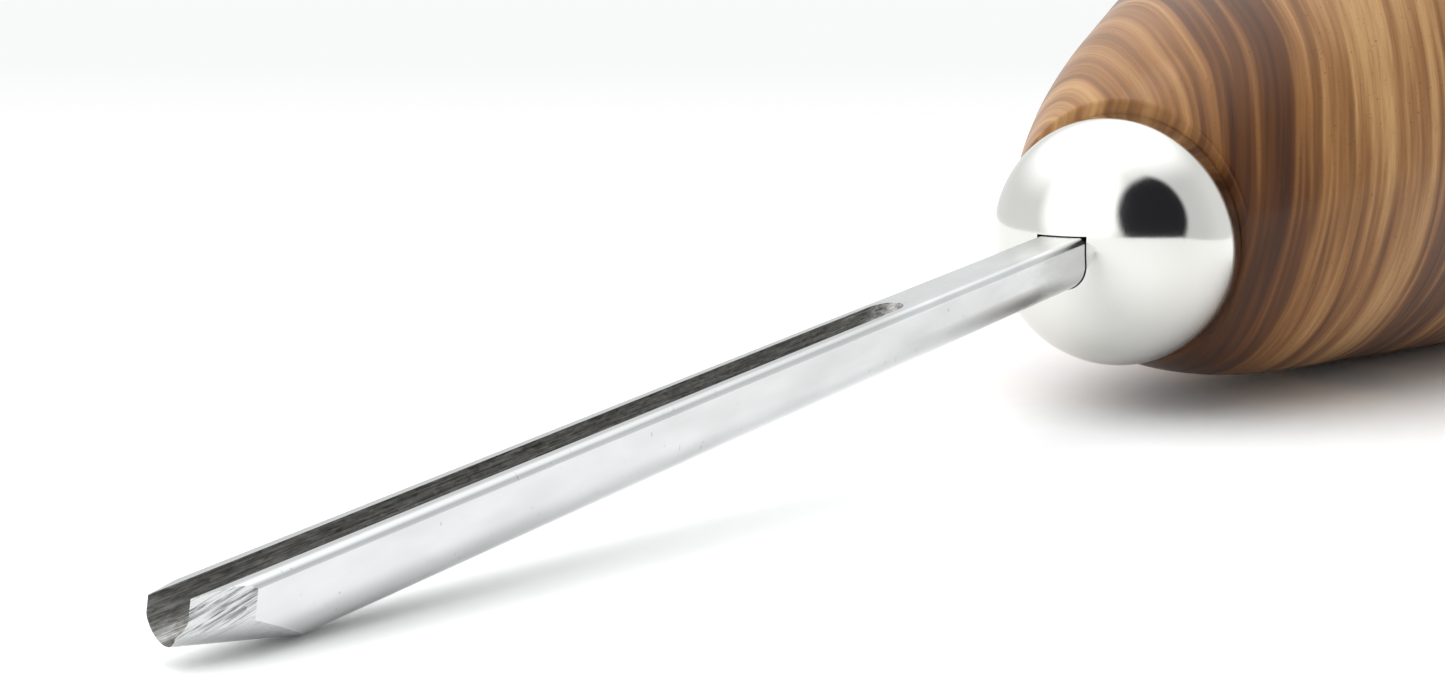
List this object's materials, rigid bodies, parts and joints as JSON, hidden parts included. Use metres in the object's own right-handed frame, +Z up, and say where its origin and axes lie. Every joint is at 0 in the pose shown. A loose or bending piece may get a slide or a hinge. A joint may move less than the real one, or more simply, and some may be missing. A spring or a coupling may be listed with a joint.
{
  "type": "lino cutter",
  "caption": "Small U-gouge for cutting lino: a fluted, bevelled steel blade in a domed plated ferrule cap and a turned pear-shaped wooden palm handle.",
  "frame": {"origin": "centre of the small flat under the handle, on the surface that the tool rests on", "axes": "+X from the cutting edge towards the butt, +Z up, with the flute open towards +Z; the blade rises 8.9 degrees towards the handle"},
  "size_m": [0.1218, 0.041, 0.0412],
  "materials": {
    "blade_steel": "satin ground steel with polishing lines",
    "plated_cap": "mirror-bright nickel plate",
    "lacquered_wood": "glossy lacquer over reddish-brown pear wood"
  },
  "bodies": {
    "root": {"gouge_blade": "blade_steel", "ferrule_cap": "plated_cap", "palm_handle": "lacquered_wood"}
  },
  "joints": []
}
